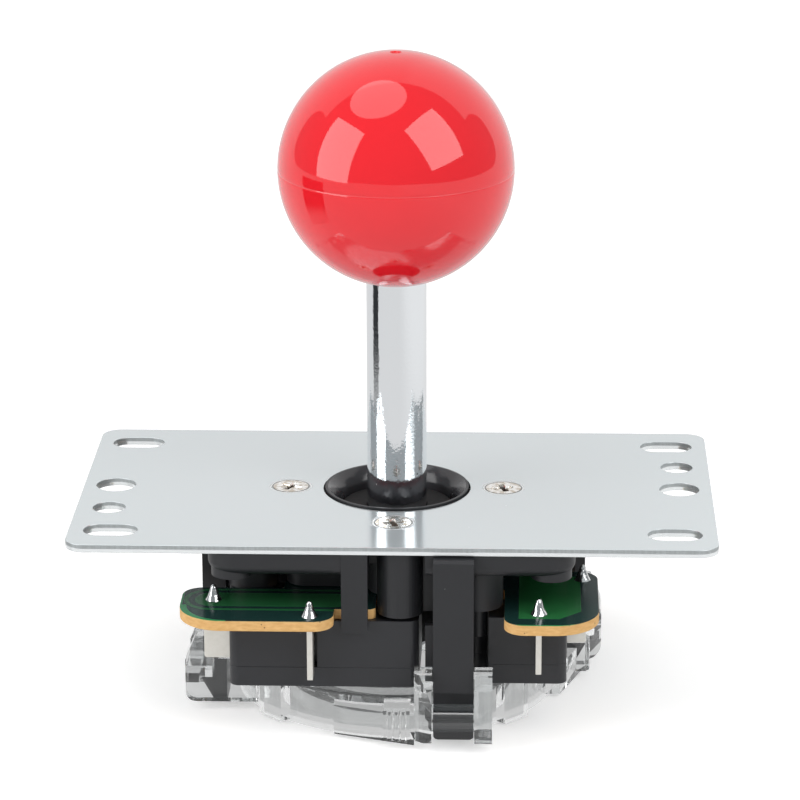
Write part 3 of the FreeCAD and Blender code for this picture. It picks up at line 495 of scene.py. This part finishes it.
# The deep part of each cross recess is painted dark as painted shade.
recess_shade_mask = 1 - nickel.smooth(nickel.axes(nickel.place())[2], recess_shade_full, recess_shade_start)
stain = nickel.smooth(nickel.noise(1100, detail=4), 0.42, 0.62)
nickel_colour = nickel.blend(stain, bright_nickel, stained_nickel)
nickel_paint = nickel.finish(
    Base_Color=nickel.blend(recess_shade_mask * 0.94, nickel_colour, recess_shade_colour), Metallic=1.0,
    Roughness=0.14 + 0.15 * nickel.noise(3000), Normal=nickel.bump(nickel.noise(2000), 0.00006, 0.8))

screw_places, screw_size = middles("plate_screws")
screws = Growth("countersunk_screws", Length=screw_size.z, Head_radius=head_radius, Head_deep=0.0012,
                Shank_radius=0.0015, Tip_radius=0.0009, Tip_long=0.0015, Overlap=0.00005,
                Recess_long=0.0033, Recess_wide=0.00095, Recess_deep=0.0010, Recess_floor=0.3,
                Pit_low=0.00015, Pit_high=0.0006, Proud=0.00001, Seed=4, Material=nickel_paint)
shank, deep = screws.get("Shank radius"), screws.get("Recess deep")
top = 0.5 * screws.get("Length")
head_low = top - screws.get("Head deep")
tip_high = screws.get("Tip long") - top
shaped = screws.join(screws.taper(head_low, top, shank, screws.get("Head radius"), 96),
                     screws.taper(tip_high, head_low + screws.get("Overlap"), shank, shank),
                     screws.taper(0 - top, tip_high, screws.get("Tip radius"), shank))
square_corner = math.sqrt(0.5)
wing = screws.node("GeometryNodeMeshCone", Vertices=4, Radius_Top=square_corner, Depth=1.0,
                   Radius_Bottom=screws.get("Recess floor") * square_corner)
wing = screws.moved(wing, (0, 0, 0), (0, 0, math.pi / 4))
across = screws.vector(screws.get("Recess long"), screws.get("Recess wide"), deep)
along = screws.vector(screws.get("Recess wide"), screws.get("Recess long"), deep)
cross_low = screws.vector(z=top - deep)
cross = screws.join(screws.moved(wing, cross_low, scale=across), screws.moved(wing, cross_low, scale=along),
                    screws.taper(top - deep, top, screws.get("Pit low"), screws.get("Pit high"), 24))
cross = screws.moved(cross, screws.vector(z=screws.get("Proud")))
driven = screws.node("FunctionNodeRandomValue", {"data_type": "FLOAT"}, out=1, s2=0.0, s3=math.pi / 2,
                     Seed=screws.get("Seed"))
screws_finished = screws.grow(screw_places, screws.cut(shaped, cross), screws.vector(z=driven))
ease(screws_finished, 0.00007)
stand_for(screws_finished, "plate_screws")


# Housing
# One black nylon moulding, screwed under the plate: a slab, a core with the spring's tub, posts
# and pegs for the switches and four long latch legs. Its collar comes up through the plate and
# thins to a narrow lip round a polished bore.
bore_low, bore_painted_lighter, dust_grey = -0.008, (0.050, 0.050, 0.055), (0.6, 0.6, 0.6)
collar_top, mouth_radius, lip_radius = 0.0003, 0.0099, 0.01045
level_tolerance, radius_tolerance = 1e-5, 1e-4


def black_plastic(name, level, roughness, dusty=0.6, bore_radius=0.0):
    """Satin black moulding with a faint mould texture and a few specks of dust."""
    paint = Paint(name)
    x, y, z = paint.axes(paint.place())
    # The bore is really polished and glossier, and it is also painted lighter than the rest of the moulding,
    # as painted light in its shaded hollow.
    polished = (x * x + y * y < bore_radius ** 2) * (z > bore_low)
    texture = paint.noise(1800, detail=2)
    dust = paint.specks(420, 0.06) * paint.smooth(paint.noise(300), 0.58, 0.62)
    colour = paint.blend(paint.noise(120, detail=2), (level, level * 1.04, level * 1.2),
                         (level * 1.25, level * 1.3, level * 1.5))
    colour = paint.blend(polished, colour, bore_painted_lighter)
    return paint.finish(Base_Color=paint.blend(dust * dusty, colour, dust_grey),
                        Roughness=roughness + 0.12 * texture - 0.26 * polished, IOR=1.5,
                        Normal=paint.bump(texture, 0.00001, 0.35))


nylon = black_plastic("black_nylon", 0.016, 0.36, bore_radius=lip_radius)
housing = link("housing_finished", node_copy("housing"), nylon)
for vertex in housing.data.vertices:
    at_top = abs(vertex.co.z - collar_top) < level_tolerance
    from_middle = vertex.co.xy.length
    if at_top and abs(from_middle - mouth_radius) < radius_tolerance:
        vertex.co.xy *= lip_radius / from_middle
ease(housing, 0.00018)
stand_for(housing, "housing")


# Tilting pivot and actuator
# Two dull black acetal mouldings on the shaft: the ball section that rocks in the housing's
# seat, and the cup whose round foot pushes the plungers.
acetal = black_plastic("black_acetal", 0.004, 0.72, 0.9)
dress("pivot", 0.00015, acetal, "tilting_pivot")
dress("actuator", 0.0001, acetal, "tilting_pivot")


# Shaft
# Turned steel with a polished chrome plate, thick down to its shoulder in the pivot. Fine lines
# run along the drawn bar, the chrome has a slight orange peel, and its lower end is pitted.
pitted_low, pitted_high = 0.004, 0.014
bright_chrome, pit_grey = (0.82, 0.84, 0.86), (0.25, 0.25, 0.25)
chrome = Paint("polished_chrome")
pitted = 1 - chrome.smooth(chrome.axes(chrome.place())[2], pitted_low, pitted_high)
draw_lines = chrome.noise(1800, detail=4, stretch=(1, 1, 0.10))
peel = chrome.noise(2400, detail=2)
pits = chrome.specks(900, 0.16) * pitted * chrome.smooth(chrome.noise(500), 0.5, 0.6)
chrome_paint = chrome.finish(
    Base_Color=chrome.blend(pits, bright_chrome, pit_grey), Metallic=1.0, Roughness=0.04 + 0.25 * pits,
    Normal=chrome.bump(draw_lines + peel * 0.6 - pits * 0.5, 0.00004, 0.5))
dress("shaft", 0.00008, chrome_paint, "stick")


# Ball top
# Injection-moulded red ball with a high gloss, a parting line round its middle and the mark of
# the gate on top. The brass insert that takes the shaft's thread is hidden inside it.
ball_turns, arc_steps, pole_weld = 160, 48, 1e-7
entry_radius, entry_depth = 0.0046, 0.0015
seam_half, seam_depth = 0.00006, 0.00002
dimple_radius, dimple_depth, dimple_floor = 0.0009, 0.00025, 0.8
seam_red, dark_red, light_red = (0.86, 0.06, 0.07), (0.80, 0.010, 0.018), (0.86, 0.018, 0.028)


def lathe(profile):
    """A closed shape turned about the Z axis from an outline in radius and height."""
    shape = bmesh.new()
    start = [shape.verts.new((radius, 0, height)) for radius, height in profile]
    edges = [shape.edges.new(pair) for pair in zip(start, start[1:])]
    bmesh.ops.spin(shape, geom=start + edges, cent=(0, 0, 0), axis=(0, 0, 1), angle=2 * math.pi,
                   steps=ball_turns, use_duplicate=False)
    bmesh.ops.remove_doubles(shape, verts=shape.verts, dist=pole_weld)
    bmesh.ops.recalc_face_normals(shape, faces=shape.faces)
    mesh = bpy.data.meshes.new("turned")
    shape.to_mesh(mesh)
    shape.free()
    mesh.shade_smooth()
    mesh.set_sharp_from_angle(angle=sharp_angle)
    return mesh


def ball_arc(start, end):
    """The ball's outline between two angles above its middle."""
    angles = [start + (end - start) * step / arc_steps for step in range(arc_steps + 1)]
    return [(ball_radius * math.cos(angle), mid + ball_radius * math.sin(angle)) for angle in angles]


mid = ball_centre.z
entry_high, dimple_low = mid - ball_radius + entry_depth, mid + ball_radius - dimple_depth
seam_angle = seam_half / ball_radius
outline = [(0, entry_high), (entry_radius, entry_high),
           *ball_arc(-math.acos(entry_radius / ball_radius), -seam_angle), (ball_radius - seam_depth, mid),
           *ball_arc(seam_angle, math.acos(dimple_radius / ball_radius)),
           (dimple_radius * dimple_floor, dimple_low), (0, dimple_low)]
red = Paint("red_gloss")
off_seam = red.smooth(red.maths("ABSOLUTE", red.axes(red.place())[2] - mid), seam_half, seam_half * 2)
swirled = red.blend(red.noise(45, detail=2), dark_red, light_red)
red_paint = red.finish(Base_Color=red.blend(off_seam, seam_red, swirled), Roughness=0.05, IOR=1.55,
                       Coat_Weight=0.35, Coat_Roughness=0.02)
ball = link("ball_finished", lathe(outline), red_paint)
stand_for(ball, "ball_top", "stick")


# Ball insert, retaining clip, washer and return spring
# Small hidden pieces: a turned brass hexagon that the ball is moulded round, and a stamped clip,
# a stamped washer and a wound coil of spring steel.
brass = Paint("turned_brass")
brass_colour = brass.blend(brass.noise(300), (0.72, 0.52, 0.24), (0.80, 0.62, 0.32))
brass_paint = brass.finish(Base_Color=brass_colour, Metallic=1.0, Roughness=0.3)
steel = Paint("spring_steel")
steel_colour = steel.blend(steel.noise(700), (0.45, 0.46, 0.48), (0.6, 0.6, 0.62))
steel_paint = steel.finish(Base_Color=steel_colour, Metallic=1.0, Roughness=0.28)
for node, material in (("ball_insert", brass_paint), ("e_clip", steel_paint), ("spring_washer", steel_paint),
                       ("return_spring", steel_paint)):
    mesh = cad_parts[node].data
    mesh.materials.clear()
    mesh.materials.append(material)


# Microswitches
# Four snap-action switches, each a black case closed by a cover, with a plunger that faces the
# actuator and two tinned blades soldered to the board. The blades' cut edges show the press's
# fine ribs.
switch_black = black_plastic("switch_black", 0.020, 0.32)
plunger = Paint("plunger_plastic")
plunger_colour = plunger.blend(plunger.noise(900), (0.45, 0.04, 0.03), (0.52, 0.06, 0.04))
plunger_paint = plunger.finish(Base_Color=plunger_colour, Roughness=0.4)
tin = Paint("tinned_brass")
tin_colour = tin.blend(tin.noise(1200, detail=4), (0.80, 0.78, 0.71), (0.93, 0.91, 0.86))
ribs = tin.noise(3600, detail=2, stretch=(0.08, 0.08, 1))
tin_paint = tin.finish(Base_Color=tin_colour, Metallic=0.8, Roughness=0.30 + 0.15 * tin.noise(2000),
                       Normal=tin.bump(ribs, 0.00005, 0.8))
for side in ("front", "right", "back", "left"):
    dress("switch_case_" + side, 0.0002, switch_black)
    dress("switch_cover_" + side, 0.0002, switch_black)
    dress("switch_plunger_" + side, 0, plunger_paint, "plunger_" + side)
    dress("common_terminal_" + side, 0.0001, tin_paint)
    dress("end_terminal_" + side, 0.0001, tin_paint)


# Circuit board
# A punched board of resin-bonded paper, whose tan core shows at its edge. Its upper face has
# green solder mask over wide copper tracks, which run round each pair of pads on the front and
# back and fill the corners of the other two sides. The pattern repeats after half a turn.
far_pad, track_end = (-0.0262, -0.0215), (-0.0085, -0.0215)
track_start, track_stop, track_shown = 0.0027, 0.0029, 0.75
ring_in, ring_out, ring_shown = 0.0037, 0.0044, 0.7
pour_left, pour_right, pour_front, pour_back, pour_corner = 0.0186, 0.0277, -0.0283, -0.0105, 0.0528
board_half, edge_highlight_width = 0.031, 0.00032
corner_radius, corner_middle_x, corner_middle_y, corner_shift = 0.0065, 0.0245, 0.0238, 0.0007
dark_paper, light_paper, paper_speck = (0.58, 0.29, 0.08), (0.90, 0.60, 0.27), (0.20, 0.10, 0.04)
bare_green, copper_green, edge_highlight_green = (0.011, 0.036, 0.032), (0.024, 0.150, 0.046), (0.03, 0.22, 0.08)

board = Paint("solder_mask")
x, y, _ = board.axes(board.place())
half_turn = 1 - 2 * (y > 0.0)
x, y = x * half_turn, y * half_turn
run_x, run_y = track_end[0] - far_pad[0], track_end[1] - far_pad[1]
along = ((x - far_pad[0]) * run_x + (y - far_pad[1]) * run_y) / (run_x ** 2 + run_y ** 2)
along = board.maths("MINIMUM", board.maths("MAXIMUM", along, 0), 1)
from_track = board.length(x - far_pad[0] - run_x * along, y - far_pad[1] - run_y * along)
track = track_shown * (1 - board.smooth(from_track, track_start, track_stop))
ring = ring_shown * (from_track > ring_in) * (from_track < ring_out)
pour = (x > pour_left) * (x < pour_right) * (y > pour_front) * (y < pour_back) * (x - y < pour_corner)
copper = board.maths("MINIMUM", track + ring + pour, 1)
on_top = board.smooth(board.facing(), 0.3, 0.5)
wide_x, wide_y = board.maths("ABSOLUTE", x), board.maths("ABSOLUTE", y)
same_sign = x * y > 0.0
corner_x = wide_x - corner_middle_x + corner_shift * same_sign
corner_y = wide_y - corner_middle_y - corner_shift * (1 - same_sign)
# A thin lighter green band along the board's outline is a painted highlight, where the edge of the mask
# catches the light.
straight_edge_highlight = board.maths("MAXIMUM", wide_x, wide_y) > board_half - edge_highlight_width
from_corner = board.length(corner_x, corner_y)
round_edge_highlight = (corner_x > 0.0) * (corner_y > 0.0) * (from_corner > corner_radius - edge_highlight_width)
fibre = board.noise(900, detail=5, stretch=(1, 1, 3))
tan = board.blend(board.specks(700, 0.12), board.blend(fibre, dark_paper, light_paper), paper_speck)
green = board.blend(board.maths("MAXIMUM", straight_edge_highlight, round_edge_highlight),
                    board.blend(copper, bare_green, copper_green), edge_highlight_green)
board_paint = board.finish(Base_Color=board.blend(on_top, tan, green), Roughness=0.62 - 0.46 * on_top,
                           IOR=1.33, Normal=board.bump(copper * on_top, 0.00003, 0.6))
dress("circuit_board", 0.0001, board_paint)


# Solder joints
# Bright fillets of hand-fed solder, drawn up round each switch's tail to a blunt point as the
# iron was lifted. Each has lumps of its own.
solder = Paint("bright_solder")
solder_colour = solder.blend(solder.noise(2500), (0.62, 0.62, 0.62), (0.88, 0.88, 0.88))
solder_paint = solder.finish(Base_Color=solder_colour, Metallic=1.0, Roughness=0.12,
                             Normal=solder.bump(solder.noise(1800, detail=2), 0.00008, 0.5))
joint_places, joint_size = middles("solder_joints")
foot_share, height_share = 0.97, 0.98
joints = Growth("solder_fillets", Foot=joint_size.x / 2 * foot_share, Height=joint_size.z * height_share,
                Blunt=0.42, Hollow=2.2, Lumps=0.00016, Grain=1300.0, Weld=0.00001, Seed=7.0,
                Material=solder_paint)
drop = joints.node("GeometryNodeMeshCylinder", {"fill_type": "TRIANGLE_FAN"}, Vertices=32, Side_Segments=20,
                   Radius=1.0, Depth=1.0)
x, y, z = joints.axes(joints.node("GeometryNodeInputPosition"))
up = joints.maths("MINIMUM", z + 0.5, 1)
blunt = joints.get("Blunt")
swell = joints.get("Foot") * ((1 - blunt) * (1 - up) ** joints.get("Hollow") + blunt * (1 - up ** 6) ** 0.5)
drop = joints.node("GeometryNodeSetPosition", Geometry=drop,
                   Position=joints.vector(x * swell, y * swell, z * joints.get("Height")))
drop = joints.node("GeometryNodeMergeByDistance", Geometry=drop, Distance=joints.get("Weld"))
spot = joints.node("GeometryNodeInputPosition")
wander = joints.axes(joints.node("ShaderNodeTexNoise", {"noise_dimensions": "4D"}, out="Color", Vector=spot,
                                 W=joints.get("Seed"), Scale=joints.get("Grain"), Detail=1.0))
lumps = joints.vector(*[(part - 0.5) * joints.get("Lumps") for part in wander])
fillets = joints.grow(joint_places, drop, lumps=lumps)
ease(fillets, 0)
stand_for(fillets, "solder_joints")


# Harness plug
# A moulded cream nylon header on the back edge of the board. Five square tinned pins run through
# its floor and bend down into the board.
cream = Paint("natural_nylon")
cream_colour = cream.blend(cream.noise(200), (0.72, 0.69, 0.58), (0.80, 0.77, 0.67))
cream_paint = cream.finish(Base_Color=cream_colour, Roughness=0.42,
                           Normal=cream.bump(cream.noise(1600, detail=2), 0.00001, 0.35))
dress("harness_header", 0.00015, cream_paint)

pin_places, pin_size = middles("header_pins")
pins = Growth("bent_pins", Width=pin_size.x, Length=pin_size.y, Drop=pin_size.z, Point=0.0006, Blunt=0.45,
              Material=tin_paint)
wide, long, down = pins.get("Width"), pins.get("Length"), pins.get("Drop")
straight = long - pins.get("Point")
level = 0.5 * down - 0.5 * wide
bar = pins.moved(pins.node("GeometryNodeMeshCube", Size=pins.vector(wide, straight, wide)),
                 pins.vector(0.0, -0.5 * pins.get("Point"), level))
leg = pins.moved(pins.node("GeometryNodeMeshCube", Size=pins.vector(wide, wide, down)),
                 pins.vector(0.0, 0.5 * wide - 0.5 * long, 0.0))
point = pins.node("GeometryNodeMeshCone", Vertices=4, Radius_Bottom=wide * square_corner,
                  Radius_Top=wide * square_corner * pins.get("Blunt"), Depth=pins.get("Point"))
point = pins.moved(pins.moved(point, (0, 0, 0), (0, 0, math.pi / 4)), (0, 0, 0), (-math.pi / 2, 0, 0))
point = pins.moved(point, pins.vector(0.0, 0.5 * long - pins.get("Point"), level))
header_pins = pins.grow(pin_places, pins.join(bar, leg, point))
ease(header_pins, 0.00004)
stand_for(header_pins, "header_pins")


# Gate and restrictor plate
# Two clear polycarbonate mouldings. The gate's four loops snap over the legs' barbs and hold the
# restrictor, whose square opening stops the shaft's end.
clear = Paint("clear_polycarbonate")
clear_paint = clear.finish(Base_Color=(0.955, 0.968, 0.968), Roughness=0.0, IOR=1.585,
                           Transmission_Weight=1.0, Alpha=0.96,
                           Normal=clear.bump(clear.noise(260, detail=2), 0.00003, 0.3))
dress("gate", 0.00014, clear_paint)
dress("restrictor_plate", 0.00014, clear_paint)
